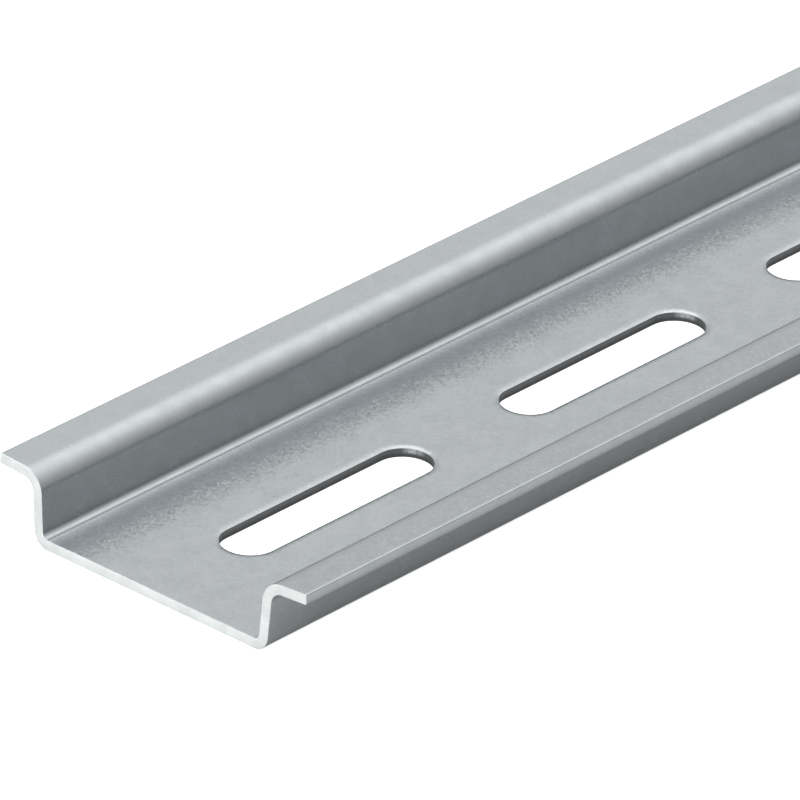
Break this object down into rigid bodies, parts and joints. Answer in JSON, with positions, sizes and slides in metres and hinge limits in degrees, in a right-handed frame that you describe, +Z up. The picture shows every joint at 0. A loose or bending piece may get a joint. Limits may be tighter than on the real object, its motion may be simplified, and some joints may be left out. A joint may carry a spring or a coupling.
{
  "type": "din rail",
  "caption": "Slotted top-hat mounting rail: a shallow steel channel with two outward flanges and long round-ended slots along its base.",
  "frame": {"origin": "middle of the rail's underside: halfway along it, on its centre line", "axes": "+X along the rail, away from the end that the picture shows; +Y across it; +Z up out of the open channel"},
  "size_m": [1, 0.035, 0.0073],
  "materials": {
    "zinc_plated_steel": "satin zinc plate over cold-rolled steel strip, with fine rolling streaks and a faint mottle"
  },
  "bodies": {
    "root": {"rail": "zinc_plated_steel"}
  },
  "joints": []
}
